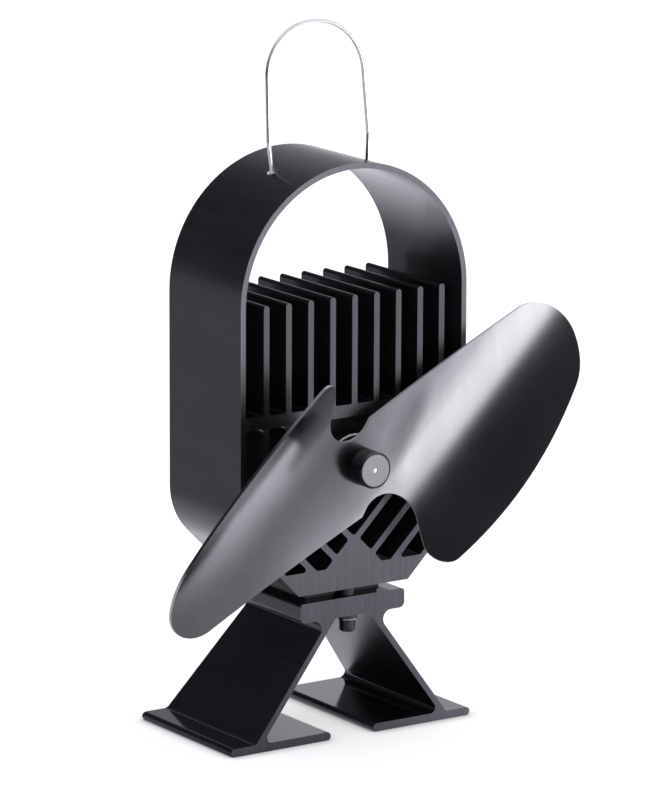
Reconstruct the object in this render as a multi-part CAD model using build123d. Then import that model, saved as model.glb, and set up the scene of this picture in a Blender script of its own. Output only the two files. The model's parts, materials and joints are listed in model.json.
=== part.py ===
from build123d import *
from math import asin, cos, degrees, pi, radians, sin, sqrt, tan
import os

# Heat-driven fan for the top of a wood stove, sizes in millimetres.
# X runs to the right, Y from the blade to the back, Z up from the stove top.
# The origin lies on the ground under the middle of the whole outline.
# "Front" sizes are measured from the front face of the heat sink.

# Heat sink: an arched extrusion with fins above a cross floor and bent ribs below it
sink_depth = 56.0
ring_radius = 58.0
ring_wall = 2.5
ring_centre_z = 193.5
sink_foot_half = 28.2
sink_foot_z = 66.3
sink_corner_radius = 30.0
floor_top_z = 147.4
slot_top_z = 142.0
fin_end_room = 10.5
fin_thickness = 2.8
fin_count_each_side = 4
fin_top_z = 194.75
fin_root_radius = 1.0
rib_thickness = 2.8
outer_slot_height = 17.2
rib_outer_radius = 17.0
gable_height = 3.68
slot_foot_width = 4.72
slot_top_radius = 1.8
slot_corner_radius = 1.2
cavity_bottom_radius = 2.0

# Base stand: a plate on two splayed legs with flat feet
stand_setback = 0.8
stand_depth = 72.1
stand_rear_slope = 0.265
plate_half = 27.0
plate_top_z = 62.4
plate_thickness = 8.5
plate_top_radius = 1.5
plate_foot_radius = 2.5
leg_start_x = 12.0
leg_slope = 0.749
leg_thickness = 2.6
leg_root_radius = 4.0
leg_inner_radius = 1.5
foot_inner_x = 11.1
foot_outer_x = 62.2
foot_thickness = 3.66
foot_root_radius = 2.5
round_end_share = 0.495

# Clamp screws between the plate and the foot of the heat sink
screw_inset = 5.2
screw_diameter = 4.0
screw_head_diameter = 7.2
screw_head_height = 4.8
screw_socket_width = 3.4
screw_socket_depth = 2.6
screw_engagement = 9.0
screw_bore_extra = 2.0
head_edge = 0.8
sleeve_diameter = 6.1
sleeve_fit = 0.1
plate_bore_fit = 0.15
washer_diameter = 9.0
washer_thickness = 1.4
spring_washer_height = 1.4
spring_washer_thickness = 0.9
spring_washer_diameter = 8.8

# Thermoelectric module in the gap
module_size = 38.0
pad_thickness = 0.25
ceramic_thickness = 0.8
pellet_rows = 8
pellet_width = 2.2
pellet_pitch = 4.2
seal_inset = 0.6
seal_width = 1.0

# Module leads and their passages
lead_diameter = 1.3
lead_x = 6.0
lead_y = 52.0
lead_foot_radius = 4.4
lead_top_radius = 6.0
lead_passage = 3.4

# Motor, its axis is the axis of the blade
axis_z = 121.2
motor_radius = 13.2
motor_front = 0.3
motor_length = 30.0
motor_wall = 1.0
cap_flange = 1.5
cap_spigot = 2.0
boss_diameter = 6.4
boss_length = 1.5
bush_diameter = 4.6
bush_length = 3.0
shaft_diameter = 2.0
running_gap = 0.03
magnet_radius = 8.9
magnet_glue = 0.05
magnet_start = 5.0
magnet_length = 18.0
magnet_half_angle = 65.0
core_start = 7.0
core_length = 14.0
core_radius = 8.5
core_hub_radius = 3.0
core_arm_width = 3.0
core_shoe_thickness = 1.3
core_shoe_half_angle = 50.0
pole_count = 3
coil_width = 7.0
coil_overhang = 2.0
coil_inner_radius = 3.5
coil_outer_radius = 6.2
coil_fit = 0.05
commutator_start = 23.6
commutator_length = 4.2
commutator_radius = 3.0
commutator_slit = 0.3
brush_gap = 0.05
brush_thickness = 0.3
brush_width = 3.0
brush_start = 24.6
terminal_x = 6.0
terminal_width = 2.0
terminal_thickness = 0.5
terminal_length = 3.0
cradle_setback = 8.0
cradle_length = 20.0
cradle_fit = 0.1

# Blade: one pressed sheet, two blades that are half a turn apart
sheet_front = 8.0
sheet_thickness = 1.2
blade_corner_x = 2.0
blade_corner_z = 21.4
lead_edge_angle = 26.9
lead_edge_length = 86.5
tip_radius = 17.0
tip_angle = 108.2
trail_tip_radius = 30.0
trail_tip_angle = 41.8
trail_radius = 260.0
trail_angle = 20.6
blade_foot_radius = 7.7
blade_foot_angle = 123.4
inner_edge_length = 10.6
notch_radius = 12.2
notch_angle = 143.6
curl_axis_angle = 43.9
curl_radius = 80.5
curl_span = 60.0
blade_reach = 125.0

# Hub
nose_diameter = 16.0
nose_length = 8.1
nose_edge = 0.6
spigot_diameter = 7.0
shaft_recess = 0.3
collar_diameter = 10.0
collar_gap = 0.4
seat_depth = 0.5
set_screw_diameter = 3.0
set_screw_length = 3.6
set_screw_socket = 1.5
set_screw_socket_depth = 1.4

# Wire handle
wire_diameter = 1.9
handle_hole_diameter = 3.5
handle_hole_edge = 0.6
handle_hole_x = 24.5
handle_y = 27.0
handle_lean_angle = 5.3
handle_end_inset = 0.3
handle_foot_radius = 4.0
handle_kink_x = 25.6
handle_kink_height = 12.0
handle_kink_radius = 8.0
handle_top_x = 23.8
handle_height = 62.1
handle_top_radius = 23.4

# Derived positions
slant = sqrt(2.0)
rib_outer_x = ring_radius - ring_wall - fin_end_room
fin_pitch = rib_outer_x / fin_count_each_side
rib_outer_height = sink_foot_z - sink_foot_half + outer_slot_height
gable_z = rib_outer_height + 2 * fin_pitch * slant + gable_height
slot_foot_z = (gable_z + rib_outer_height + rib_thickness / 2 * slant + slot_foot_width) / 2
plate_foot_z = plate_top_z - plate_thickness
stand_rear = stand_setback + stand_depth
screw_rows = (screw_inset, sink_depth - screw_inset)
stack_z = plate_foot_z - washer_thickness - spring_washer_height
module_y = sink_depth / 2
module_rear = module_y + module_size / 2
hot_ceramic_z = plate_top_z + pad_thickness
pellet_z = hot_ceramic_z + ceramic_thickness
cold_ceramic_z = sink_foot_z - pad_thickness - ceramic_thickness
lead_z = (plate_top_z + sink_foot_z) / 2
motor_rear = motor_front + motor_length
handle_z = ring_centre_z + (ring_radius - ring_wall / 2) * cos(asin(handle_hole_x / ring_radius))


def along_y(profile, start, length):
    """Extrude a profile drawn in X and Z, from a depth backward."""
    return Pos(0, start, 0) * extrude(Plane.XZ * profile, amount=-length)


def closed(points, radii):
    """A face inside a closed outline with rounded corners."""
    return make_face(FilletPolyline(*points, radius=radii, close=True))


def both_sides(profile):
    """The profile and its mirror image across X = 0."""
    return [profile, mirror(profile, about=Plane.YZ)]


def tube(outer, inner, start, length):
    """A ring about the motor axis."""
    ring = Circle(outer) - Circle(inner)
    return along_y(Pos(0, axis_z) * ring, start, length)


def wedge(reach, half_angle):
    """A wedge from the middle outward, past a circle of the given reach."""
    half_width = reach * tan(radians(half_angle))
    return make_face(Polyline((0, 0), (reach, -half_width), (reach, half_width), close=True))


def save(node, *solids):
    """Move a node to the shared frame and write its file."""
    body = Compound(children=[s for part in solids for s in part.solids()])
    export_step(Pos(0, front_y, 0) * body, f"parts/{node}.step")


# Outline of the heat sink
def sink_profile():
    """Section of the heat sink, with its fins, ribs, slots and cavity."""
    fall = sink_foot_z - sink_foot_half
    wall_vertex_z = ring_radius + fall
    sole = [
        (-sink_foot_half, sink_foot_z),
        (sink_foot_half, sink_foot_z),
        (ring_radius, wall_vertex_z),
        (ring_radius, ring_centre_z),
        (-ring_radius, ring_centre_z),
        (-ring_radius, wall_vertex_z),
    ]
    sole_radii = [0, 0, sink_corner_radius, 0, 0, sink_corner_radius]
    outside = closed(sole, sole_radii) + Pos(0, ring_centre_z) * Circle(ring_radius)

    inner = ring_radius - ring_wall
    room_height = ring_centre_z - floor_top_z
    room = Pos(0, floor_top_z + room_height / 2) * Rectangle(2 * inner, room_height)
    room += Pos(0, ring_centre_z) * Circle(inner) - Pos(0, floor_top_z / 2) * Rectangle(
        2 * ring_radius, floor_top_z
    )
    for i in range(-fin_count_each_side, fin_count_each_side + 1):
        room -= Pos(i * fin_pitch, 0) * fin_profile()

    section = outside - room
    for slot in (outer_slot(), middle_slot(), inner_slot()):
        for side in both_sides(slot):
            section -= side
    return section - cavity_profile(0)


def fin_profile():
    """One fin with a round top and fillets at its root, standing on the floor."""
    half = fin_thickness / 2
    shoulder_z = fin_top_z - half
    stem_height = shoulder_z - floor_top_z + fin_root_radius
    stem = Pos(0, shoulder_z - stem_height / 2) * Rectangle(fin_thickness, stem_height)
    root = Pos(0, floor_top_z + fin_root_radius / 2) * Rectangle(
        fin_thickness + 2 * fin_root_radius, fin_root_radius
    )
    for side in (-1, 1):
        centre_x = side * (half + fin_root_radius)
        root -= Pos(centre_x, floor_top_z + fin_root_radius) * Circle(fin_root_radius)
    return stem + Pos(0, shoulder_z) * Circle(half) + root


def rib_line(index):
    """Side position, fall of the slanted part and bend radius of a rib's middle."""
    x = rib_outer_x - index * fin_pitch
    fall = rib_outer_height + index * fin_pitch * slant
    return x, fall, max(rib_outer_radius - index * fin_pitch, 0)


def outer_slot():
    """Slot between the side wall and the outer rib."""
    wall_x = ring_radius - ring_wall
    wall_fall = sink_foot_z - sink_foot_half + ring_wall * slant
    rib_x, rib_fall, rib_bend = rib_line(0)
    rib_x += rib_thickness / 2
    rib_fall -= rib_thickness / 2 * slant
    points = [
        (wall_x, slot_top_z),
        (rib_x, slot_top_z),
        (rib_x, rib_x + rib_fall),
        (slot_foot_z - rib_fall, slot_foot_z),
        (slot_foot_z - wall_fall, slot_foot_z),
        (wall_x, wall_x + wall_fall),
    ]
    radii = [
        slot_top_radius,
        slot_top_radius,
        rib_bend + rib_thickness / 2,
        slot_corner_radius,
        slot_corner_radius,
        sink_corner_radius - ring_wall,
    ]
    return closed(points, radii)


def middle_slot():
    """Slot between the outer and the middle rib."""
    outer_x, outer_fall, outer_bend = rib_line(0)
    outer_x -= rib_thickness / 2
    outer_fall += rib_thickness / 2 * slant
    inner_x, inner_fall, inner_bend = rib_line(1)
    inner_x += rib_thickness / 2
    inner_fall -= rib_thickness / 2 * slant
    gable_x = (gable_z - inner_fall) / 2
    points = [
        (outer_x, slot_top_z),
        (inner_x, slot_top_z),
        (inner_x, inner_x + inner_fall),
        (gable_x, gable_x + inner_fall),
        (gable_z - slot_foot_z, slot_foot_z),
        (slot_foot_z - outer_fall, slot_foot_z),
        (outer_x, outer_x + outer_fall),
    ]
    radii = [
        slot_top_radius,
        slot_top_radius,
        inner_bend + rib_thickness / 2,
        slot_corner_radius,
        slot_corner_radius,
        slot_corner_radius,
        outer_bend - rib_thickness / 2,
    ]
    return closed(points, radii)


def inner_slot():
    """Slot between the middle and the inner rib, square to both at its foot."""
    outer_x, outer_fall, outer_bend = rib_line(1)
    outer_x -= rib_thickness / 2
    outer_fall += rib_thickness / 2 * slant
    inner_x, inner_fall, inner_bend = rib_line(2)
    inner_x += rib_thickness / 2
    inner_fall -= rib_thickness / 2 * slant
    points = [
        (outer_x, slot_top_z),
        (inner_x, slot_top_z),
        (inner_x, inner_x + inner_fall),
        ((gable_z - inner_fall) / 2, (gable_z + inner_fall) / 2),
        ((gable_z - outer_fall) / 2, (gable_z + outer_fall) / 2),
        (outer_x, outer_x + outer_fall),
    ]
    radii = [
        slot_top_radius,
        slot_top_radius,
        inner_bend + rib_thickness / 2,
        slot_corner_radius,
        slot_corner_radius,
        outer_bend - rib_thickness / 2,
    ]
    return closed(points, radii)


def cavity_profile(inset):
    """Motor cavity between the inner ribs, drawn smaller by the inset all round."""
    rib_x, rib_fall, rib_bend = rib_line(2)
    side_x = rib_x - rib_thickness / 2 - inset
    fall = rib_fall + rib_thickness / 2 * slant + inset * slant
    top_z = slot_top_z - inset
    points = [
        (0, fall),
        (side_x, side_x + fall),
        (side_x, top_z),
        (-side_x, top_z),
        (-side_x, side_x + fall),
    ]
    radii = [
        cavity_bottom_radius,
        slot_corner_radius,
        slot_top_radius,
        slot_top_radius,
        slot_corner_radius,
    ]
    return closed(points, radii)


def heatsink():
    """Heat sink with its screw bores, lead passages and handle holes."""
    body = along_y(sink_profile(), 0, sink_depth)
    bore_depth = screw_engagement + screw_bore_extra
    for y in screw_rows:
        bore = Cylinder(screw_diameter / 2, bore_depth, align=(Align.CENTER, Align.CENTER, Align.MIN))
        body -= Pos(0, y, sink_foot_z) * bore
    passage_top = gable_z + rib_thickness * slant + lead_x
    for x in (-lead_x, lead_x):
        passage = Cylinder(
            lead_passage / 2,
            passage_top - sink_foot_z,
            align=(Align.CENTER, Align.CENTER, Align.MIN),
        )
        body -= Pos(x, lead_y, sink_foot_z) * passage
    bore_angle = degrees(asin(handle_hole_x / ring_radius))
    for turn in (-bore_angle, bore_angle):
        body -= Pos(0, handle_y, ring_centre_z) * Rot(0, turn, 0) * handle_hole()
    return body


def handle_hole():
    """Bore for an end of the handle at the top of the ring, with a bevelled rim."""
    radius = handle_hole_diameter / 2
    bore = Cylinder(radius, 4 * ring_wall)
    bevel = Cone(radius, radius + 2 * handle_hole_edge, 2 * handle_hole_edge)
    return Pos(0, 0, ring_radius) * (bore + bevel)


# Base stand
def stand_profile():
    """Section of the base stand."""
    leg_inner_x = leg_start_x - leg_thickness * sqrt(1 + leg_slope**2)
    leg_drop = leg_slope * (plate_foot_z - foot_thickness)
    right = [
        (plate_half, plate_top_z),
        (plate_half, plate_foot_z),
        (leg_start_x, plate_foot_z),
        (leg_start_x + leg_drop, foot_thickness),
        (foot_outer_x, foot_thickness),
        (foot_outer_x, 0),
        (foot_inner_x, 0),
        (foot_inner_x, foot_thickness),
        (leg_inner_x + leg_drop, foot_thickness),
        (leg_inner_x, plate_foot_z),
    ]
    end_radius = foot_thickness * round_end_share
    radii = [
        plate_top_radius,
        plate_foot_radius,
        leg_root_radius,
        foot_root_radius,
        end_radius,
        end_radius,
        end_radius,
        end_radius,
        foot_root_radius,
        leg_inner_radius,
    ]
    left = [(-x, z) for x, z in reversed(right)]
    return closed(right + left, radii + radii[::-1])


def base_stand():
    """Base stand, its rear cut leaning forward towards the top."""
    body = along_y(stand_profile(), stand_setback, stand_depth)
    side = Polyline(
        (stand_setback, 0),
        (stand_rear, 0),
        (stand_rear - stand_rear_slope * plate_top_z, plate_top_z),
        (stand_setback, plate_top_z),
        close=True,
    )
    body &= extrude(Plane.YZ * make_face(side), amount=foot_outer_x, both=True)
    for y in screw_rows:
        bore = disc(sleeve_diameter / 2 + plate_bore_fit, plate_foot_z, plate_thickness)
        body -= Pos(0, y, 0) * bore
    return body


# Clamp screws and the parts around them
def disc(radius, z, height):
    """An upright disc from a height up."""
    return Pos(0, 0, z) * Cylinder(radius, height, align=(Align.CENTER, Align.CENTER, Align.MIN))


def clamp_screw():
    """Socket screw with its head under the plate."""
    head_z = stack_z - screw_head_height
    head = disc(screw_head_diameter / 2, head_z, screw_head_height)
    head = chamfer(head.faces().sort_by(Axis.Z)[0].edges(), head_edge)
    socket_radius = screw_socket_width / 2 / cos(pi / 6)
    socket = extrude(RegularPolygon(socket_radius, 6), amount=screw_socket_depth)
    shank = disc(screw_diameter / 2, stack_z, sink_foot_z + screw_engagement - stack_z)
    return head - Pos(0, 0, head_z) * socket + shank


def sleeve():
    """Insulating sleeve from the washer to the foot of the heat sink."""
    bore = screw_diameter / 2 + sleeve_fit
    height = sink_foot_z - plate_foot_z
    return disc(sleeve_diameter / 2, plate_foot_z, height) - disc(bore, plate_foot_z, height)


def flat_washer():
    """Insulating washer against the plate."""
    z = plate_foot_z - washer_thickness
    bore = screw_diameter / 2 + sleeve_fit
    return disc(washer_diameter / 2, z, washer_thickness) - disc(bore, z, washer_thickness)


def spring_washer():
    """Dished washer between the screw head and the insulating washer."""
    inner = screw_diameter / 2 + sleeve_fit
    outer = spring_washer_diameter / 2
    dish = spring_washer_height - spring_washer_thickness
    section = Polyline(
        (inner, stack_z),
        (outer, stack_z + dish),
        (outer, stack_z + spring_washer_height),
        (inner, stack_z + spring_washer_thickness),
        close=True,
    )
    return revolve(Plane.XZ * make_face(section), axis=Axis.Z)


def at_screws(solid):
    """Copies of a solid on both clamp screws."""
    return [Pos(0, y, 0) * solid for y in screw_rows]


# Thermoelectric module
def slab(size, z, height):
    """A square plate in the gap, centred on the module."""
    return Pos(0, module_y, z + height / 2) * Box(size, size, height)


def module_pellets():
    """The rows of semiconductor pellets between the ceramic plates."""
    height = cold_ceramic_z - pellet_z
    first = -(pellet_rows - 1) / 2 * pellet_pitch
    pellets = []
    for i in range(pellet_rows):
        for j in range(pellet_rows):
            place = Pos(first + i * pellet_pitch, module_y + first + j * pellet_pitch, 0)
            pellets.append(place * Pos(0, 0, pellet_z + height / 2) * Box(pellet_width, pellet_width, height))
    return pellets


def module_seal():
    """Sealing bead round the pellets."""
    height = cold_ceramic_z - pellet_z
    outer = module_size - 2 * seal_inset
    return slab(outer, pellet_z, height) - slab(outer - 2 * seal_width, pellet_z, height)


def module_lead(x):
    """One lead: out of the seal, up the passage and forward to its terminal."""
    start_y = module_rear - seal_inset
    end_y = motor_rear + cap_flange + terminal_length
    out = Line((x, start_y, lead_z), (x, lead_y - lead_foot_radius, lead_z))
    turn = Plane((x, 0, 0), x_dir=(0, 1, 0), z_dir=(1, 0, 0))
    low = turn * Pos(lead_y - lead_foot_radius, lead_z) * JernArc((0, 0), (1, 0), lead_foot_radius, 90)
    rise_end = axis_z - lead_top_radius
    rise = Line(low @ 1, (x, lead_y, rise_end))
    high = turn * Pos(lead_y, rise_end) * JernArc((0, 0), (0, 1), lead_top_radius, 90)
    home = Line(high @ 1, (x, end_y, axis_z))
    path = Wire([out.edge(), low.edge(), rise.edge(), high.edge(), home.edge()])
    start = Plane(origin=path @ 0, z_dir=path % 0)
    return sweep(start * Circle(lead_diameter / 2), path=path)


# Motor
def motor_can():
    """Drawn steel can with a boss for the front bush."""
    can = tube(motor_radius, motor_radius - motor_wall, motor_front, motor_length)
    face = tube(motor_radius - motor_wall, bush_diameter / 2, motor_front, motor_wall)
    boss = tube(boss_diameter / 2, bush_diameter / 2, motor_front - boss_length, boss_length)
    return can + face + boss


def magnets():
    """Two curved magnets glued into the can."""
    outer = motor_radius - motor_wall - magnet_glue
    pieces = []
    for side in (0, 180):
        shape = (Circle(outer) - Circle(magnet_radius)) & wedge(motor_radius, magnet_half_angle)
        shape = Pos(0, axis_z) * Rot(0, 0, side) * shape
        pieces.append(along_y(shape, magnet_start, magnet_length))
    return pieces


def bush(start):
    """Plain bearing with a running gap round the shaft."""
    return tube(bush_diameter / 2, shaft_diameter / 2 + running_gap, start, bush_length)


def end_cap():
    """Moulded cap with the brush side boss and slots for the terminals."""
    spigot = tube(
        motor_radius - motor_wall - magnet_glue, bush_diameter / 2, motor_rear - cap_spigot, cap_spigot
    )
    flange = tube(motor_radius, bush_diameter / 2, motor_rear, cap_flange)
    boss = tube(boss_diameter / 2, bush_diameter / 2, motor_rear + cap_flange, boss_length)
    cap = spigot + flange + boss
    slot_length = cap_spigot + cap_flange
    for x in (-terminal_x, terminal_x):
        slot = Pos(x, motor_rear - cap_spigot + slot_length / 2, axis_z) * Box(
            terminal_thickness, slot_length, terminal_width
        )
        cap -= slot
    return cap


def terminals():
    """Two tabs through the cap."""
    start = motor_rear - cap_spigot
    length = cap_spigot + cap_flange + terminal_length
    tab = Pos(0, start + length / 2, axis_z) * Box(terminal_thickness, length, terminal_width)
    return [Pos(x, 0, 0) * tab for x in (-terminal_x, terminal_x)]


def brushes():
    """Two leaf brushes from the terminals to the commutator."""
    cap_y = motor_rear - cap_spigot
    touch_x = commutator_radius + brush_gap
    outer_x = terminal_x + terminal_thickness / 2
    section = Polyline(
        (touch_x, brush_start),
        (touch_x + brush_thickness, brush_start),
        (touch_x + brush_thickness, cap_y - brush_thickness),
        (outer_x, cap_y - brush_thickness),
        (outer_x, cap_y),
        (touch_x, cap_y),
        close=True,
    )
    leaf = extrude(make_face(section), amount=brush_width / 2, both=True)
    leaf = Pos(0, 0, axis_z) * leaf
    return [leaf, mirror(leaf, about=Plane.YZ)]


def motor_cradle():
    """Moulded block that fills the cavity round the motor."""
    shape = cavity_profile(0) - Pos(0, axis_z) * Circle(motor_radius + cradle_fit)
    return along_y(shape, cradle_setback, cradle_length)


# Turning parts
def shaft():
    """Shaft from the nose to the rear bush."""
    start = -sheet_front - nose_length + shaft_recess
    end = motor_rear + cap_flange + boss_length
    return along_y(Pos(0, axis_z) * Circle(shaft_diameter / 2), start, end - start)


def armature_core():
    """Laminated core with three poles."""
    shape = Circle(core_hub_radius)
    shoe_ring = Circle(core_radius) - Circle(core_radius - core_shoe_thickness)
    for i in range(pole_count):
        turn = Rot(0, 0, i * 360 / pole_count)
        arm_length = core_radius - core_shoe_thickness / 2
        arm = Pos(arm_length / 2, 0) * Rectangle(arm_length, core_arm_width)
        shape += turn * arm
        shape += turn * (shoe_ring & wedge(core_radius, core_shoe_half_angle))
    shape -= Circle(shaft_diameter / 2)
    return along_y(Pos(0, axis_z) * shape, core_start, core_length)


def armature_windings():
    """A coil round each pole arm."""
    radial = coil_outer_radius - coil_inner_radius
    middle = (coil_outer_radius + coil_inner_radius) / 2
    length = core_length + 2 * coil_overhang
    centre_y = core_start + core_length / 2
    coil = Box(radial, length, coil_width)
    coil = fillet(coil.edges().filter_by(Axis.X), coil_overhang)
    coil -= Box(radial, core_length + 2 * coil_fit, core_arm_width + 2 * coil_fit)
    axis = Pos(0, centre_y, axis_z)
    return [axis * Rot(0, -i * 360 / pole_count, 0) * Pos(middle, 0, 0) * coil for i in range(pole_count)]


def commutator():
    """Commutator with three segments on the shaft."""
    ring = Circle(commutator_radius) - Circle(shaft_diameter / 2)
    length = commutator_radius - shaft_diameter / 2
    for i in range(pole_count):
        slit = Pos(commutator_radius, 0) * Rectangle(length, commutator_slit)
        ring -= Rot(0, 0, i * 360 / pole_count + 180 / pole_count) * slit
    return along_y(Pos(0, axis_z) * ring, commutator_start, commutator_length)


def blade_edges():
    """Edges of both blades about the hub, each tangent to the one before."""
    corner = Vector(blade_corner_x, blade_corner_z)
    half = [PolarLine(corner, lead_edge_length, lead_edge_angle)]
    turns = (
        (tip_radius, tip_angle),
        (trail_tip_radius, trail_tip_angle),
        (trail_radius, trail_angle),
        (blade_foot_radius, blade_foot_angle),
    )
    for radius, turn in turns:
        half.append(JernArc(half[-1] @ 1, half[-1] % 1, radius, -turn))
    foot = half[-1]
    inner = Line(foot @ 1, foot @ 1 + (foot % 1) * inner_edge_length)
    notch = JernArc(inner @ 1, inner % 1, notch_radius, notch_angle)
    half += [inner, notch, Line(notch @ 1, -corner)]
    return half + [Rot(0, 0, 180) * edge for edge in half]


def curl_plane():
    """Plane across the curl axis, on the front of the sheet at the hub."""
    turn = radians(curl_axis_angle)
    return Plane(
        origin=(0, -sheet_front, axis_z),
        x_dir=(sin(turn), 0, -cos(turn)),
        z_dir=(cos(turn), 0, sin(turn)),
    )


def curl_cylinder(radius):
    """Cylinder about the curl axis that the hub parts are seated on."""
    return curl_plane() * Pos(0, -curl_radius) * Cylinder(radius, 2 * nose_diameter)


def fan_blade():
    """The curled sheet, its edges cut square to its surface."""
    prism = extrude(
        Plane.XZ * Pos(0, axis_z) * make_face(blade_edges()), amount=curl_radius, both=True
    )
    across = curl_plane()
    half_arc = degrees(asin(curl_span / curl_radius))
    arc = CenterArc((0, -curl_radius), curl_radius, 90 - half_arc, 2 * half_arc)
    start = Location(across.z_dir * -blade_reach) * (across * arc).edge()
    strip = Face.extrude(start, across.z_dir * 2 * blade_reach)
    surface = (strip & prism).faces()[0]
    sheet = Solid.thicken(surface, sheet_thickness, normal_override=(0, 1, 0))
    return sheet - along_y(Pos(0, axis_z) * Circle(spigot_diameter / 2), -blade_reach, blade_reach)


def hub_ring(outer, inner, start, length):
    """A hub part about the axis, measured from the front of the blade sheet."""
    return tube(outer / 2, inner / 2, start - sheet_front, length)


def nose_cap():
    """Nose with a spigot through the sheet, a bevelled rim and a seat shaped to the sheet."""
    nose = hub_ring(nose_diameter, shaft_diameter, -nose_length, nose_length)
    rim = nose.faces().sort_by(Axis.Y)[0].outer_wire().edges()
    nose = chamfer(rim, nose_edge) & curl_cylinder(curl_radius)
    spigot = hub_ring(spigot_diameter, shaft_diameter, -seat_depth, seat_depth + sheet_thickness)
    return nose + (spigot & curl_cylinder(curl_radius + sheet_thickness))


def collar_length():
    """Length of the collar between the sheet and the boss of the motor."""
    return sheet_front - sheet_thickness + motor_front - boss_length - collar_gap


def set_screw_y():
    """Depth of the set screw, in the middle of the collar."""
    return -sheet_front + sheet_thickness + collar_length() / 2


def hub_collar():
    """Collar behind the sheet with a seat shaped to it and a bore for the set screw."""
    start = sheet_thickness - seat_depth
    collar = hub_ring(collar_diameter, shaft_diameter, start, collar_length() + seat_depth)
    bore = Pos(0, set_screw_y(), axis_z) * disc(set_screw_diameter / 2, 0, collar_diameter)
    return collar - bore - curl_cylinder(curl_radius + sheet_thickness)


def hub_set_screw():
    """Set screw in the collar with a socket in its outer end."""
    foot = shaft_diameter / 2
    screw = disc(set_screw_diameter / 2, foot, set_screw_length)
    socket_radius = set_screw_socket / 2 / cos(pi / 6)
    socket = extrude(RegularPolygon(socket_radius, 6), amount=-set_screw_socket_depth)
    screw -= Pos(0, 0, foot + set_screw_length) * socket
    return Pos(0, set_screw_y(), axis_z) * screw


# Handle
def handle():
    """Bent wire, its ends turned inward along the bores of the ring."""
    bore = asin(handle_hole_x / ring_radius)
    surface = ring_wall / 2 * cos(bore)
    reach = ring_wall - handle_end_inset
    right = [
        (handle_top_x, surface + handle_height),
        (handle_kink_x, surface + handle_kink_height),
        (handle_hole_x, surface),
        (handle_hole_x - reach * sin(bore), surface - reach * cos(bore)),
    ]
    radii = [handle_top_radius, handle_kink_radius, handle_foot_radius]
    left = [(-x, z) for x, z in reversed(right)]
    line = FilletPolyline(*(left + right), radius=radii[::-1] + radii)
    plane = Plane(
        origin=(0, handle_y, handle_z),
        x_dir=(1, 0, 0),
        z_dir=(0, -cos(radians(handle_lean_angle)), sin(radians(handle_lean_angle))),
    )
    path = plane * line
    start = Plane(origin=path @ 0, z_dir=path % 0)
    return sweep(start * Circle(wire_diameter / 2), path=path)


# Shift that puts the origin under the middle of the whole outline
def blade_front():
    """How far the blade stands out in front of the heat sink."""
    trail = blade_edges()[3]
    turn = radians(curl_axis_angle)
    away = Vector(sin(turn), -cos(turn))
    farthest = trail.arc_center.dot(away) + trail_radius
    rise = curl_radius - sqrt(curl_radius**2 - farthest**2)
    return sheet_front + rise


front_y = (blade_front() - stand_rear) / 2


if __name__ == "__main__":
    os.makedirs("parts", exist_ok=True)
    save("base_stand", base_stand())
    save("heatsink", heatsink())
    save("clamp_screws", *at_screws(clamp_screw()))
    save("insulating_sleeves", *at_screws(sleeve()))
    save("insulating_washers", *at_screws(flat_washer()))
    save("spring_washers", *at_screws(spring_washer()))
    save("hot_side_pad", slab(module_size, plate_top_z, pad_thickness))
    save("module_hot_plate", slab(module_size, hot_ceramic_z, ceramic_thickness))
    save("module_pellets", *module_pellets())
    save("module_seal", module_seal())
    save("module_cold_plate", slab(module_size, cold_ceramic_z, ceramic_thickness))
    save("cold_side_pad", slab(module_size, sink_foot_z - pad_thickness, pad_thickness))
    save("module_leads", module_lead(-lead_x), module_lead(lead_x))
    save("motor_can", motor_can())
    save("motor_magnets", *magnets())
    save("motor_front_bush", bush(motor_front - boss_length))
    save("motor_rear_bush", bush(motor_rear + cap_flange + boss_length - bush_length))
    save("motor_end_cap", end_cap())
    save("motor_terminals", *terminals())
    save("motor_brushes", *brushes())
    save("motor_cradle", motor_cradle())
    save("motor_shaft", shaft())
    save("armature_core", armature_core())
    save("armature_windings", *armature_windings())
    save("commutator", commutator())
    save("fan_blade", fan_blade())
    save("nose_cap", nose_cap())
    save("hub_collar", hub_collar())
    save("hub_set_screw", hub_set_screw())
    save("handle", handle())
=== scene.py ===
"""Looks of a heat driven stove fan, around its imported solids. Metres, +Y to the back, +Z up."""
import json
import math

import bpy
from mathutils import Matrix, Vector


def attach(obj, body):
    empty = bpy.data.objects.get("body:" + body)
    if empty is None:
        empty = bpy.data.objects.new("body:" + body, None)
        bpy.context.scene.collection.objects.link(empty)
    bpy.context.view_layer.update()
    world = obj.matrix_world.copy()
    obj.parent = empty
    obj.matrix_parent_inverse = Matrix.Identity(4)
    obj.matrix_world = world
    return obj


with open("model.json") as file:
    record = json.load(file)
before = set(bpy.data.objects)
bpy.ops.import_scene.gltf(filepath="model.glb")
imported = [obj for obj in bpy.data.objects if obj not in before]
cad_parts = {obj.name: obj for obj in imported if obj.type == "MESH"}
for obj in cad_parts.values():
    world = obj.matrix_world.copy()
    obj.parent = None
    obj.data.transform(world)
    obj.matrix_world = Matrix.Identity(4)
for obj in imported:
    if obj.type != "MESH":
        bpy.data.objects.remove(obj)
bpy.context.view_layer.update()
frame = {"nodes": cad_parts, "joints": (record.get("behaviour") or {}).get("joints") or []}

MM = 0.001


def mm(*lengths):
    """Lengths given in millimetres, in metres."""
    return tuple(length * MM for length in lengths)


# Camera. Angles are in degrees, with azimuth 0 to the front and 90 to the right
FRAME_WIDTH = 672
FOCAL_PIXELS = 5484.4
SENSOR_WIDTH = 36.0
CAMERA_AZIMUTH = -34.104
CAMERA_ELEVATION = 12.512
CAMERA_ROLL = 0.238
CAMERA_DISTANCE = 2.36494
CAMERA_TARGET = Vector((0.007659, 0.004403, 0.143316))
CAMERA_CLIP = 20.0

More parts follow.
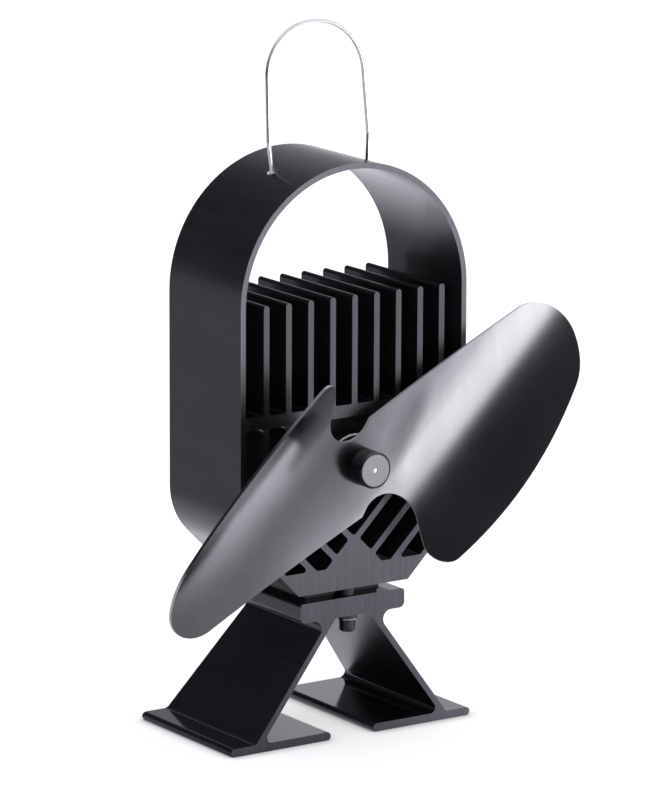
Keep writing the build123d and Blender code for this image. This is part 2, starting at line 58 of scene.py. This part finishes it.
# World, by direction. A range holds cosines of the angle from the named direction, or, for the
# overhead glow and the dimming of the sweep's upper part, sines of the elevation
ROOM_LEVEL = 0.17
SOFT_LIGHT = 0.6
SWEEP_AZIMUTH = 146.0
SWEEP_RANGE = (0.68, 1.0)
HIGH_SWEEP = 0.5
HIGH_SWEEP_RANGE = (0.02, 0.16)
OVERHEAD_LEVEL = 1.1
OVERHEAD_RANGE = (0.74, 0.92)
RIGHT_AZIMUTH = 90.0
RIGHT_ELEVATION = 35.0
RIGHT_LEVEL = 1.1
RIGHT_RANGE = (0.58, 0.80)
ROOM_TINT = (1.02, 0.95, 1.16, 1.0)
WHITE = (1.0, 1.0, 1.0, 1.0)

# Floor, and the glow on it that only reflections see, with ranges in metres
FLOOR_HALF = 6.0
FLOOR_WHITE = (0.9, 0.9, 0.9, 1.0)
FLOOR_ROUGHNESS = 0.9
FLOOR_TINT = (0.96, 0.97, 1.07, 1.0)
FLOOR_LIFT = 0.55
# Reach and samples of the painted shadow where the feet meet the floor
CONTACT_SHADOW_REACH = 7.0 * MM
CONTACT_SHADOW_SAMPLES = 4
BAND_AZIMUTH = 146.0
BAND_GLOW = 1.6
BAND_START = (-0.08, 0.28)
BAND_DIP = 0.6
BAND_DIP_START = (0.22, 0.45)
BAND_SIDE = (-0.36, -0.08)
GLOW_POOLS = (
    {"centre": (0.5, -0.8, 0.0), "fade": (0.3, 0.9), "glow": 1.35},
    {"centre": (0.72, -1.05, 0.0), "fade": (0.14, 0.28), "glow": 3.2},
    {"centre": (0.132, 0.008, 0.0), "fade": (0.045, 0.152), "glow": 0.95},
)
LAMP_TARGET = Vector((0.0, 0.0, 0.13))

# Places on the fan where a look changes. A pair holds where the change starts and where it ends
joint_places = {joint["name"]: joint["pos_m"] for joint in frame["joints"]}
HUB_X, _, HUB_Z = joint_places["blade_spin"]
_, HOLE_Y, HINGE_Z = joint_places["handle_rock"]
HOLE_X = 24.5 * MM
HOLE_RISE = 1.14 * MM
HOLE_Z = HINGE_Z + HOLE_RISE
HOLE_RIM = mm(2.45, 2.55)
FIN_SIDE = mm(52.5, 54.5)
FIN_BOTTOM = mm(141.5, 142.5)
FIN_TOP = mm(196.0, 197.0)
RIB_TOP = mm(108.0, 120.0)
NOSE_FACE_RIM = mm(6.9, 7.0)
WIRE_ARCH = mm(287.0, 302.0)

# Looks of the extruded pieces by the direction that a face looks in, and painted shade by place: the fins
# and cross floor painted darker, and a painted shadow of the blade on the ribs and block below the shaft
CUT_FACING = (0.90, 0.985)
UNDER_TILT = (-0.4, -0.2)
FIN_PAINTED_SHADE = 0.62
RIB_PAINTED_SHADOW = 0.83

# Painted shade and highlight of the blade. The hub, the tip and the reach of the painted shade band are
# distances from the shaft, the root starts at a distance along the blade, and the rest lies between
# slanted lines across it
EDGE_FACING = (0.45, 0.60)
HUB_RANGE = mm(18.0, 46.0)
HUB_PAINTED_SHADE = 0.74
TIP_RANGE = mm(65.0, 105.0)
TIP_PAINTED_HIGHLIGHT = 1.2
CURL_ANGLE = math.radians(43.9)
CREASE_SLOPE = 0.245
CREASE_PAINTED_SHADE = 0.58
CREASE_RISE = mm(2.0, 9.5)
CREASE_FALL = mm(13.0, 17.5)
CREASE_REACH = mm(36.0, 50.0)
ROOT_START = mm(4.0, 14.0)
ROOT_END = mm(20.0, 26.0)

# Sheen of the nose, by the direction that a face looks in, with a painted sheen where the barrel faces up
NOSE_FACING = (0.93, 0.99)
NOSE_TILT = (0.25, 0.95)
DULL_SHEEN = 0.2
TOP_PAINTED_SHEEN = 0.9

# Depths of the relief
SAW_DEPTH = 0.005 * MM
SHEET_DEPTH = 0.004 * MM
TURNED_DEPTH = 0.01 * MM
WIRE_DEPTH = 0.002 * MM
METAL_DEPTH = 0.004 * MM
MATTER_DEPTH = 0.01 * MM
LAYER_DEPTH = 0.03 * MM
WINDING_DEPTH = 0.04 * MM

# Rolled rim of the motor can
CAN_RADIUS = 13.2 * MM
CAN_FRONT_Y = -20.86 * MM
BEAD_RADIUS = 0.4 * MM
BEAD_STEPS_AROUND = 144
BEAD_STEPS_ABOUT = 12


def direction(azimuth, elevation):
    """Unit vector from the fan, azimuth 0 to the front and 90 to the right, in degrees."""
    a = math.radians(azimuth)
    e = math.radians(elevation)
    return Vector((math.sin(a) * math.cos(e), -math.cos(a) * math.cos(e), math.sin(e)))


def make_camera():
    """The photograph's view, through a long lens from the left front."""
    data = bpy.data.cameras.new("camera")
    data.sensor_fit = "HORIZONTAL"
    data.sensor_width = SENSOR_WIDTH
    data.lens = FOCAL_PIXELS * SENSOR_WIDTH / FRAME_WIDTH
    data.clip_end = CAMERA_CLIP
    camera = bpy.data.objects.new("camera", data)
    bpy.context.scene.collection.objects.link(camera)
    back = direction(CAMERA_AZIMUTH, CAMERA_ELEVATION)
    azimuth = math.radians(CAMERA_AZIMUTH)
    level_right = Vector((math.cos(azimuth), math.sin(azimuth), 0.0))
    level_up = back.cross(level_right)
    roll = math.radians(CAMERA_ROLL)
    right = math.cos(roll) * level_right + math.sin(roll) * level_up
    up = math.cos(roll) * level_up - math.sin(roll) * level_right
    turn = Matrix((right, up, back)).transposed()
    place = Matrix.Translation(CAMERA_TARGET + back * CAMERA_DISTANCE)
    camera.matrix_world = place @ turn.to_4x4()
    bpy.context.scene.camera = camera


def lamp(name, azimuth, elevation, distance, width, height, watts):
    """A soft elliptical lamp that faces the fan."""
    data = bpy.data.lights.new(name, "AREA")
    data.shape = "ELLIPSE"
    data.size = width
    data.size_y = height
    data.energy = watts
    light = bpy.data.objects.new(name, data)
    bpy.context.scene.collection.objects.link(light)
    aim = direction(azimuth, elevation)
    light.location = LAMP_TARGET + aim * distance
    light.rotation_euler = aim.to_track_quat("Z", "Y").to_euler()


class Graph:
    """Short calls for the nodes of one material or world."""

    def __init__(self, tree):
        self.nodes = tree.nodes
        self.links = tree.links

    def new(self, kind, operation=None):
        node = self.nodes.new("ShaderNode" + kind)
        if operation:
            node.operation = operation
        return node

    def feed(self, socket, value):
        """Links the socket to another one, or sets it to a number or a colour."""
        if isinstance(value, (float, tuple)):
            socket.default_value = value
        else:
            self.links.new(value, socket)

    def math(self, kind, *values):
        node = self.new("Math", kind)
        for socket, value in zip(node.inputs, values):
            self.feed(socket, value)
        return node.outputs["Value"]

    def product(self, first, *others):
        for other in others:
            first = self.math("MULTIPLY", first, other)
        return first

    def weigh(self, a, a_weight, b, b_weight):
        """The weighted sum of two values."""
        return self.math("ADD", self.product(a, a_weight), self.product(b, b_weight))

    def spread(self, value, low, high, start=0.3, stop=0.7, smooth=False):
        """Low up to start, high from stop on, and a ramp between them."""
        node = self.new("MapRange")
        node.interpolation_type = "SMOOTHSTEP" if smooth else "LINEAR"
        node.inputs["From Min"].default_value = start
        node.inputs["From Max"].default_value = stop
        node.inputs["To Min"].default_value = low
        node.inputs["To Max"].default_value = high
        self.links.new(value, node.inputs["Value"])
        return node.outputs["Result"]

    def above(self, value, limits):
        """A mask that is 0 below the two limits and 1 above them."""
        return self.spread(value, 0.0, 1.0, *limits)

    def below(self, value, limits):
        """A mask that is 1 below the two limits and 0 above them."""
        return self.spread(value, 1.0, 0.0, *limits)

    def vector(self, kind, point, other=None, output="Value"):
        """Vector arithmetic on a point, with a constant where it needs one."""
        node = self.new("VectorMath", kind)
        self.links.new(point, node.inputs[0])
        if other is not None:
            node.inputs[1].default_value = other
        return node.outputs[output]

    def along(self, point, axis):
        return self.vector("DOT_PRODUCT", point, axis)

    def apart(self, point, centre):
        return self.vector("DISTANCE", point, centre)

    def component(self, vector, axis):
        """The vector's X, Y or Z."""
        node = self.new("SeparateXYZ")
        self.links.new(vector, node.inputs["Vector"])
        return node.outputs[axis]

    def choose(self, factor, a, b, kind="FLOAT"):
        """The number a where the factor is 0, and b where it is 1."""
        node = self.new("Mix")
        node.data_type = kind
        self.links.new(factor, node.inputs["Factor"])
        self.feed(node.inputs["A"], a)
        self.feed(node.inputs["B"], b)
        return node.outputs["Result"]

    def mix(self, factor, a, b):
        """The colour a where the factor is 0, and b where it is 1."""
        return self.choose(factor, a, b, kind="RGBA")


def make_world():
    """White to the camera, even soft light on dull surfaces, and a dim room in reflections.

    Reflections also see a white sweep behind the fan, a glow overhead and one to the right.
    """
    world = bpy.data.worlds.new("studio")
    bpy.context.scene.world = world
    world.use_nodes = True
    graph = Graph(world.node_tree)
    path = graph.new("LightPath")
    where = graph.new("TexCoord").outputs["Generated"]
    height = graph.component(where, "Z")

    behind = graph.along(where, direction(SWEEP_AZIMUTH, 0.0))
    sweep = graph.product(graph.spread(behind, ROOM_LEVEL, 1.0, *SWEEP_RANGE, smooth=True),
                          graph.spread(height, 1.0, HIGH_SWEEP, *HIGH_SWEEP_RANGE))
    overhead = graph.spread(height, 0.0, OVERHEAD_LEVEL, *OVERHEAD_RANGE, smooth=True)
    beside = graph.along(where, direction(RIGHT_AZIMUTH, RIGHT_ELEVATION))
    rightward = graph.spread(beside, 0.0, RIGHT_LEVEL, *RIGHT_RANGE, smooth=True)
    mirrored = graph.math("MAXIMUM", graph.math("MAXIMUM", sweep, overhead), rightward)

    lit = graph.choose(path.outputs["Is Diffuse Ray"], mirrored, SOFT_LIGHT)
    seen = graph.math("MAXIMUM", path.outputs["Is Camera Ray"], lit)
    background = graph.nodes["Background"]
    graph.feed(background.inputs["Strength"], seen)
    graph.feed(background.inputs["Color"], graph.mix(seen, ROOM_TINT, WHITE))


def floor_glow(graph):
    """Strength of a band on the floor behind the fan and of soft pools around the fan."""
    where = graph.new("TexCoord").outputs["Object"]
    behind = graph.along(where, direction(BAND_AZIMUTH, 0.0))
    band = graph.math("SUBTRACT", graph.spread(behind, 0.0, BAND_GLOW, *BAND_START, smooth=True),
                      graph.spread(behind, 0.0, BAND_DIP, *BAND_DIP_START, smooth=True))
    beside = graph.along(where, direction(BAND_AZIMUTH - 90.0, 0.0))
    glow = graph.product(band, graph.spread(beside, 0.0, 1.0, *BAND_SIDE, smooth=True))
    for pool in GLOW_POOLS:
        away = graph.apart(where, pool["centre"])
        glow = graph.math("ADD", glow, graph.spread(away, pool["glow"], 0.0, *pool["fade"], smooth=True))
    return glow


def make_floor():
    """A pale floor with the fan's shadow, a painted shadow where its feet meet the floor, and a glow for
    reflections.
    """
    mesh = bpy.data.meshes.new("floor")
    corners = [(-FLOOR_HALF, -FLOOR_HALF, 0), (FLOOR_HALF, -FLOOR_HALF, 0),
               (FLOOR_HALF, FLOOR_HALF, 0), (-FLOOR_HALF, FLOOR_HALF, 0)]
    mesh.from_pydata(corners, [], [(0, 1, 2, 3)])
    floor = bpy.data.objects.new("floor", mesh)
    bpy.context.scene.collection.objects.link(floor)
    material = bpy.data.materials.new("floor_white")
    material.use_nodes = True
    graph = Graph(material.node_tree)
    path = graph.new("LightPath")
    mirrored = graph.math("MAXIMUM", path.outputs["Is Glossy Ray"], path.outputs["Is Transmission Ray"])

    # Painted shadow where the feet meet the floor: ambient occlusion darkens the paper and the white lift
    contact_shadow = graph.new("AmbientOcclusion")
    contact_shadow.samples = CONTACT_SHADOW_SAMPLES
    contact_shadow.inputs["Distance"].default_value = CONTACT_SHADOW_REACH
    contact_shadow.inputs["Color"].default_value = FLOOR_WHITE
    paper = graph.nodes["Principled BSDF"]
    paper.inputs["Roughness"].default_value = FLOOR_ROUGHNESS
    paper.inputs["Specular IOR Level"].default_value = 0.0
    graph.feed(paper.inputs["Base Color"], contact_shadow.outputs["Color"])

    lift = graph.product(contact_shadow.outputs["AO"], FLOOR_LIFT)
    glint = graph.product(mirrored, floor_glow(graph))
    glow = graph.new("Emission")
    strength = graph.math("MULTIPLY_ADD", path.outputs["Is Camera Ray"], lift, glint)
    graph.feed(glow.inputs["Strength"], strength)
    graph.feed(glow.inputs["Color"], graph.mix(mirrored, WHITE, FLOOR_TINT))

    both = graph.new("AddShader")
    graph.feed(both.inputs[0], paper.outputs["BSDF"])
    graph.feed(both.inputs[1], glow.outputs["Emission"])
    graph.feed(graph.nodes["Material Output"].inputs["Surface"], both.outputs["Shader"])
    material.cycles.emission_sampling = "NONE"
    mesh.materials.append(material)


class Look(Graph):
    """A material: one Principled shader fed by layers of noise laid out in metres on the object."""

    def __init__(self, name, metallic=0.0, specular=0.5):
        self.material = bpy.data.materials.new(name)
        self.material.use_nodes = True
        super().__init__(self.material.node_tree)
        self.shader = self.nodes["Principled BSDF"]
        self.shader.inputs["Metallic"].default_value = metallic
        self.shader.inputs["Specular IOR Level"].default_value = specular
        where = self.new("TexCoord")
        self.point = where.outputs["Object"]
        self.normal = where.outputs["Normal"]

    def drive(self, channel, value):
        """Links a channel of the shader, such as its Roughness, to a value."""
        self.links.new(value, self.shader.inputs[channel])

    def grain(self, scale, detail=4.0, roughness=0.6, shift=(0.0, 0.0, 0.0)):
        """Noise with so many grains per metre along X, Y and Z."""
        mapping = self.new("Mapping")
        mapping.inputs["Scale"].default_value = scale
        mapping.inputs["Location"].default_value = shift
        self.links.new(self.point, mapping.inputs["Vector"])
        noise = self.new("TexNoise")
        noise.inputs["Scale"].default_value = 1.0
        noise.inputs["Detail"].default_value = detail
        noise.inputs["Roughness"].default_value = roughness
        self.links.new(mapping.outputs["Vector"], noise.inputs["Vector"])
        return noise.outputs["Fac"]

    def shades(self, value, dark, light, start=0.3, stop=0.7):
        """A colour from dark to light."""
        node = self.new("ValToRGB")
        low, high = node.color_ramp.elements
        low.position = start
        low.color = (*dark, 1.0)
        high.position = stop
        high.color = (*light, 1.0)
        self.links.new(value, node.inputs["Fac"])
        return node.outputs["Color"]

    def shaded(self, color, mask, level):
        """The colour, scaled by the level where the mask is 1."""
        node = self.new("VectorMath", "SCALE")
        self.links.new(color, node.inputs[0])
        self.links.new(self.spread(mask, 1.0, level, 0.0, 1.0), node.inputs["Scale"])
        return node.outputs["Vector"]

    def facing(self, axis, limits):
        """1 where the surface faces along the axis, either way, and 0 elsewhere."""
        return self.above(self.math("ABSOLUTE", self.component(self.normal, axis)), limits)

    def relief(self, value, depth):
        """Fine bumps, as deep as given where the value runs from 0 to 1."""
        node = self.new("Bump")
        node.inputs["Strength"].default_value = 1.0
        node.inputs["Distance"].default_value = depth
        self.links.new(value, node.inputs["Height"])
        self.drive("Normal", node.outputs["Normal"])


def from_shaft(look):
    """The offset of a point from the motor axis, square to it."""
    offset = look.vector("SUBTRACT", look.point, (HUB_X, 0.0, HUB_Z), output="Vector")
    return look.vector("MULTIPLY", offset, (1.0, 0.0, 1.0), output="Vector")


def near_handle_holes(look):
    """1 at the drilled holes of the handle and on their rims, 0 elsewhere."""
    left, right = (look.apart(look.point, (x, HOLE_Y, HOLE_Z)) for x in (-HOLE_X, HOLE_X))
    return look.below(look.math("MINIMUM", left, right), HOLE_RIM)


def among_fins(look):
    """1 on the fins and the cross floor, 0 elsewhere."""
    wide = look.below(look.math("ABSOLUTE", look.component(look.point, "X")), FIN_SIDE)
    height = look.component(look.point, "Z")
    return look.product(wide, look.above(height, FIN_BOTTOM), look.below(height, FIN_TOP))


def extruded_black(name, seed, faces, cuts, rough, under_rough, line_depth, is_sink=False):
    """Black anodised extrusion: die lines run along Y, and the cut faces show saw lines.

    Faces that look down have their own roughness. The heat sink also has painted shade on its fins and
    cross floor, a painted shadow of the blade on the ribs and block below the shaft, and bare metal in
    the holes of the handle.
    """
    look = Look(name, specular=0.40)
    look.shader.inputs["Specular Tint"].default_value = (0.86, 0.85, 1.0, 1.0)
    die = look.grain((420.0, 7.0, 420.0), detail=5.0, shift=(seed, 0.0, 0.0))
    scratch = look.grain((2600.0, 22.0, 2600.0), detail=3.0, shift=(seed, seed, 0.0))
    blotch = look.grain((34.0, 20.0, 34.0), detail=3.0, shift=(0.0, seed, 0.0))
    saw = look.grain((2300.0, 2300.0, 26.0), detail=4.0, roughness=0.7, shift=(0.0, 0.0, seed))
    cut = look.facing("Y", CUT_FACING)
    side = look.weigh(die, 0.5, blotch, 0.5)
    color = look.mix(cut, look.shades(side, *faces), look.shades(saw, *cuts, 0.32, 0.68))
    metal = cut
    if is_sink:
        # Painted shade: the fins and the cross floor are painted darker
        color = look.shaded(color, among_fins(look), FIN_PAINTED_SHADE)
        # Painted shadow of the blade: the ribs and the block below the shaft are painted darker
        color = look.shaded(color, look.below(look.component(look.point, "Z"), RIB_TOP), RIB_PAINTED_SHADOW)
        bare = near_handle_holes(look)
        color = look.mix(bare, color, look.shades(scratch, (0.50, 0.50, 0.51), (0.70, 0.70, 0.71)))
        metal = look.math("MAXIMUM", cut, bare)
    look.drive("Base Color", color)
    look.drive("Metallic", metal)
    worn = look.weigh(scratch, 0.5, side, 0.5)
    under = look.below(look.component(look.normal, "Z"), UNDER_TILT)
    polish = look.choose(under, look.spread(worn, *rough), look.spread(worn, *under_rough))
    look.drive("Roughness", look.choose(cut, polish, look.spread(saw, 0.38, 0.48)))
    lines = look.product(look.weigh(die, 0.4, scratch, 0.12), line_depth)
    look.relief(look.choose(cut, lines, saw), SAW_DEPTH)
    return look.material


def blade_root(look, offset, radius):
    """Masks of the right blade's root, and of a band of painted shade that runs from the hub along it, in
    place of the reflection of a bend in the sheet.
    """
    along = (math.cos(CURL_ANGLE), 0.0, math.sin(CURL_ANGLE))
    across = (math.sin(CURL_ANGLE), 0.0, -math.cos(CURL_ANGLE))
    slanted = tuple(CREASE_SLOPE * a + b for a, b in zip(along, across))
    outward = look.above(look.along(offset, along), ROOT_START)
    line = look.along(offset, slanted)
    root = look.product(outward, look.below(line, ROOT_END))
    painted_crease = look.product(look.above(line, CREASE_RISE), look.below(line, CREASE_FALL),
                          outward, look.below(radius, CREASE_REACH))
    return root, painted_crease


def satin_sheet(name):
    """Dark satin finish of the pressed blade, with bright cut edges, painted shade near the hub and in a
    band along the right blade's root, and a painted highlight towards the tips.
    """
    look = Look(name)
    roll = look.grain((260.0, 260.0, 9.0), detail=5.0)
    cloud = look.grain((22.0, 22.0, 22.0), detail=3.0)
    speck = look.grain((4200.0, 4200.0, 4200.0), detail=2.0)
    face = look.facing("Y", EDGE_FACING)
    offset = from_shaft(look)
    radius = look.vector("LENGTH", offset)
    root, painted_crease = blade_root(look, offset, radius)
    hub = look.product(look.below(radius, HUB_RANGE), look.math("SUBTRACT", 1.0, root))
    sheet = look.shades(look.weigh(roll, 0.35, cloud, 0.65), (0.142, 0.141, 0.148), (0.178, 0.178, 0.186))
    # Painted shade near the hub and in the band along the right blade's root, and a painted highlight
    # towards the tips
    sheet = look.shaded(sheet, hub, HUB_PAINTED_SHADE)
    sheet = look.shaded(sheet, painted_crease, CREASE_PAINTED_SHADE)
    sheet = look.shaded(sheet, look.above(radius, TIP_RANGE), TIP_PAINTED_HIGHLIGHT)
    edge = look.shades(speck, (0.46, 0.46, 0.47), (0.66, 0.66, 0.67))
    look.drive("Base Color", look.mix(face, edge, sheet))
    look.drive("Metallic", look.spread(face, 0.25, 1.0, 0.0, 1.0))
    satin = look.spread(cloud, 0.18, 0.22)
    look.drive("Roughness", look.choose(face, look.spread(speck, 0.35, 0.5), satin))
    look.relief(speck, SHEET_DEPTH)
    return look.material


def turned_nose(name):
    """Black sides with a painted highlight and sheen where they face up, a dull bevel, and a machined end
    face with rings about the shaft.
    """
    look = Look(name)
    radius = look.vector("LENGTH", from_shaft(look))
    turning = look.new("TexNoise")
    turning.noise_dimensions = "1D"
    turning.inputs["Scale"].default_value = 5200.0
    turning.inputs["Detail"].default_value = 3.0
    look.links.new(radius, turning.inputs["W"])
    rings = turning.outputs["Fac"]
    sides = look.grain((900.0, 2600.0, 900.0), detail=3.0)
    front = look.facing("Y", NOSE_FACING)
    face = look.product(look.below(radius, NOSE_FACE_RIM), front)
    bevel = look.math("SUBTRACT", front, face)
    # Painted highlight and sheen where the barrel faces up
    top_highlight = look.above(look.component(look.normal, "Z"), NOSE_TILT)
    black = look.shades(sides, (0.002, 0.002, 0.003), (0.006, 0.006, 0.007))
    barrel = look.mix(top_highlight, black, look.shades(sides, (0.055, 0.055, 0.060), (0.090, 0.090, 0.096)))
    turned = look.shades(rings, (0.17, 0.17, 0.175), (0.27, 0.27, 0.275))
    look.drive("Base Color", look.mix(face, barrel, turned))
    look.drive("Metallic", face)
    sheen = look.spread(top_highlight, DULL_SHEEN, TOP_PAINTED_SHEEN, 0.0, 1.0)
    look.drive("Specular IOR Level", look.choose(bevel, sheen, DULL_SHEEN))
    polish = look.spread(sides, 0.16, 0.24)
    look.drive("Roughness", look.choose(face, polish, look.spread(rings, 0.34, 0.46)))
    look.relief(look.choose(face, sides, rings), TURNED_DEPTH)
    return look.material


def wire_painted_highlight(name):
    """Polished steel wire, painted paler and less metallic along its upper bend as a painted highlight.
    """
    look = Look(name)
    draw = look.grain((300.0, 300.0, 1200.0))
    blotch = look.grain((120.0, 120.0, 120.0), detail=3.0)
    tone = look.weigh(draw, 0.6, blotch, 0.4)
    # Painted highlight: the wire's upper bend is paler and less metallic
    arch_highlight = look.above(look.component(look.point, "Z"), WIRE_ARCH)
    steel = look.shades(tone, (0.66, 0.66, 0.67), (0.78, 0.78, 0.79))
    pale = look.shades(tone, (0.90, 0.90, 0.90), (0.96, 0.96, 0.96))
    look.drive("Base Color", look.mix(arch_highlight, steel, pale))
    look.drive("Metallic", look.spread(arch_highlight, 1.0, 0.25, 0.0, 1.0))
    look.drive("Roughness", look.spread(blotch, 0.05, 0.10))
    look.relief(draw, WIRE_DEPTH)
    return look.material


def plain_metal(name, dark, light, rough_low, rough_high, scale=(900.0, 900.0, 900.0), depth=METAL_DEPTH):
    """Bare or coated metal with fine grain and slightly uneven gloss."""
    look = Look(name, metallic=1.0)
    grain = look.grain(scale)
    blotch = look.grain((120.0, 120.0, 120.0), detail=3.0)
    look.drive("Base Color", look.shades(look.weigh(grain, 0.6, blotch, 0.4), dark, light))
    look.drive("Roughness", look.spread(blotch, rough_low, rough_high))
    look.relief(grain, depth)
    return look.material


def plain_matter(name, dark, light, rough_low, rough_high):
    """Plastic, fibre, graphite or another dull matter with a fine rough skin."""
    look = Look(name)
    grain = look.grain((1500.0, 1500.0, 1500.0))
    blotch = look.grain((90.0, 90.0, 90.0), detail=3.0)
    look.drive("Base Color", look.shades(look.weigh(grain, 0.5, blotch, 0.5), dark, light))
    look.drive("Roughness", look.spread(grain, rough_low, rough_high))
    look.relief(grain, MATTER_DEPTH)
    return look.material


def edged_ceramic(name):
    """White ceramic with dark smeared edges."""
    look = Look(name)
    grain = look.grain((1500.0, 1500.0, 1500.0))
    flat = look.facing("Z", (0.5, 0.9))
    smear = look.shades(grain, (0.018, 0.018, 0.019), (0.050, 0.050, 0.052))
    white = look.shades(grain, (0.66, 0.65, 0.62), (0.78, 0.77, 0.74))
    look.drive("Base Color", look.mix(flat, smear, white))
    look.drive("Roughness", look.spread(grain, 0.45, 0.6))
    look.relief(grain, MATTER_DEPTH)
    return look.material


def stand_material():
    """Smooth and nearly black, with fainter die lines than the heat sink."""
    return extruded_black(
        "stand_black", seed=3.0,
        faces=((0.003, 0.003, 0.004), (0.012, 0.012, 0.014)),
        cuts=((0.071, 0.072, 0.080), (0.112, 0.113, 0.125)),
        rough=(0.09, 0.13), under_rough=(0.276, 0.288), line_depth=0.3)


def sink_material():
    """Black with plain die lines, and duller than the stand."""
    return extruded_black(
        "sink_black", seed=9.0,
        faces=((0.008, 0.008, 0.009), (0.020, 0.020, 0.022)),
        cuts=((0.096, 0.097, 0.106), (0.148, 0.149, 0.162)),
        rough=(0.18, 0.29), under_rough=(0.18, 0.29), line_depth=1.0, is_sink=True)


# Plain finishes by node: material name, darkest and lightest colour, least and most roughness
METALS = {
    "clamp_screws": ("screw_black", (0.035, 0.035, 0.038), (0.075, 0.075, 0.080), 0.32, 0.48),
    "spring_washers": ("washer_steel", (0.16, 0.16, 0.17), (0.28, 0.28, 0.29), 0.24, 0.38),
    "module_pellets": ("pellet_grey", (0.20, 0.20, 0.21), (0.42, 0.42, 0.43), 0.35, 0.5),
    "motor_front_bush": ("bush_front", (0.45, 0.27, 0.13), (0.62, 0.40, 0.20), 0.3, 0.45),
    "motor_rear_bush": ("bush_rear", (0.45, 0.27, 0.13), (0.62, 0.40, 0.20), 0.3, 0.45),
    "motor_terminals": ("terminal_tin", (0.55, 0.50, 0.38), (0.72, 0.68, 0.55), 0.25, 0.4),
    "motor_brushes": ("brush_copper", (0.50, 0.24, 0.13), (0.68, 0.36, 0.22), 0.3, 0.45),
    "commutator": ("commutator_copper", (0.56, 0.27, 0.15), (0.74, 0.40, 0.25), 0.2, 0.35),
    "hub_collar": ("collar_steel", (0.30, 0.30, 0.31), (0.46, 0.46, 0.47), 0.26, 0.4),
    "hub_set_screw": ("set_screw_black", (0.04, 0.04, 0.042), (0.09, 0.09, 0.095), 0.32, 0.46),
}
DULL_MATTERS = {
    "insulating_washers": ("fibre_dark", (0.016, 0.015, 0.015), (0.040, 0.038, 0.038), 0.4, 0.6),
    "insulating_sleeves": ("fibre_sleeve", (0.012, 0.012, 0.013), (0.030, 0.030, 0.032), 0.16, 0.3),
    "hot_side_pad": ("graphite_hot", (0.030, 0.030, 0.033), (0.075, 0.075, 0.080), 0.4, 0.6),
    "cold_side_pad": ("graphite_cold", (0.030, 0.030, 0.033), (0.075, 0.075, 0.080), 0.4, 0.6),
    "module_seal": ("seal_dark", (0.020, 0.020, 0.021), (0.045, 0.045, 0.047), 0.35, 0.5),
    "module_leads": ("lead_black", (0.015, 0.015, 0.015), (0.035, 0.035, 0.035), 0.4, 0.55),
    "motor_magnets": ("magnet_black", (0.020, 0.020, 0.021), (0.050, 0.050, 0.052), 0.5, 0.7),
    "motor_end_cap": ("cap_cream", (0.58, 0.55, 0.47), (0.70, 0.67, 0.58), 0.4, 0.55),
    "motor_cradle": ("cradle_black", (0.014, 0.014, 0.015), (0.034, 0.034, 0.036), 0.45, 0.6),
}


def grained_metals():
    """Metals whose grain runs along or around the piece."""
    return {
        "motor_can": plain_metal("can_steel", (0.46, 0.46, 0.47), (0.62, 0.62, 0.63), 0.18, 0.30,
                                 scale=(700.0, 30.0, 700.0)),
        "motor_shaft": plain_metal("shaft_ground", (0.66, 0.66, 0.67), (0.82, 0.82, 0.82), 0.12, 0.2,
                                   scale=(1800.0, 60.0, 1800.0)),
        "armature_core": plain_metal("core_stack", (0.20, 0.20, 0.22), (0.36, 0.36, 0.38), 0.35, 0.5,
                                     scale=(20.0, 2500.0, 20.0), depth=LAYER_DEPTH),
        "armature_windings": plain_metal("winding_enamel", (0.38, 0.12, 0.045), (0.60, 0.24, 0.10),
                                         0.22, 0.36, scale=(20.0, 20.0, 3600.0), depth=WINDING_DEPTH),
    }


def main_finishes():
    """Materials of the large pieces and of the module's ceramic plates."""
    return {
        "base_stand": stand_material(),
        "heatsink": sink_material(),
        "fan_blade": satin_sheet("blade_satin"),
        "nose_cap": turned_nose("nose_turned"),
        "handle": wire_painted_highlight("wire_polished"),
        "module_hot_plate": edged_ceramic("ceramic_hot"),
        "module_cold_plate": edged_ceramic("ceramic_cold"),
    }


def dress(materials):
    """Puts each node's material in all its slots."""
    for node, material in materials.items():
        mesh = frame["nodes"][node].data
        for index in range(len(mesh.materials)):
            mesh.materials[index] = material


def add_can_bead():
    """The rolled rim of the motor can, a thin bright ring on its front edge."""
    points, faces = [], []
    for i in range(BEAD_STEPS_AROUND):
        around = 2 * math.pi * i / BEAD_STEPS_AROUND
        here, ahead = i * BEAD_STEPS_ABOUT, (i + 1) % BEAD_STEPS_AROUND * BEAD_STEPS_ABOUT
        for j in range(BEAD_STEPS_ABOUT):
            about = 2 * math.pi * j / BEAD_STEPS_ABOUT
            reach = CAN_RADIUS - BEAD_RADIUS + BEAD_RADIUS * math.cos(about)
            points.append((HUB_X + reach * math.cos(around), CAN_FRONT_Y + BEAD_RADIUS * math.sin(about),
                           HUB_Z + reach * math.sin(around)))
            beside = (j + 1) % BEAD_STEPS_ABOUT
            faces.append((here + j, here + beside, ahead + beside, ahead + j))
    mesh = bpy.data.meshes.new("can_bead")
    mesh.from_pydata(points, [], faces)
    mesh.shade_smooth()
    mesh.materials.append(plain_metal("bead_bright", (0.80, 0.80, 0.80), (0.90, 0.90, 0.90), 0.12, 0.22))
    bead = bpy.data.objects.new("can_bead", mesh)
    bpy.context.scene.collection.objects.link(bead)
    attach(bead, "stand")


make_camera()
make_world()
make_floor()
lamp("key_right", azimuth=18.0, elevation=1.2, distance=2.0, width=0.93, height=0.88, watts=10.2)
lamp("low_sweep", azimuth=134.0, elevation=0.0, distance=0.55, width=0.36, height=0.20, watts=0.105)
add_can_bead()
dress(main_finishes())
dress(grained_metals())
dress({node: plain_metal(*finish) for node, finish in METALS.items()})
dress({node: plain_matter(*finish) for node, finish in DULL_MATTERS.items()})
bpy.context.scene.view_settings.view_transform = "Standard"
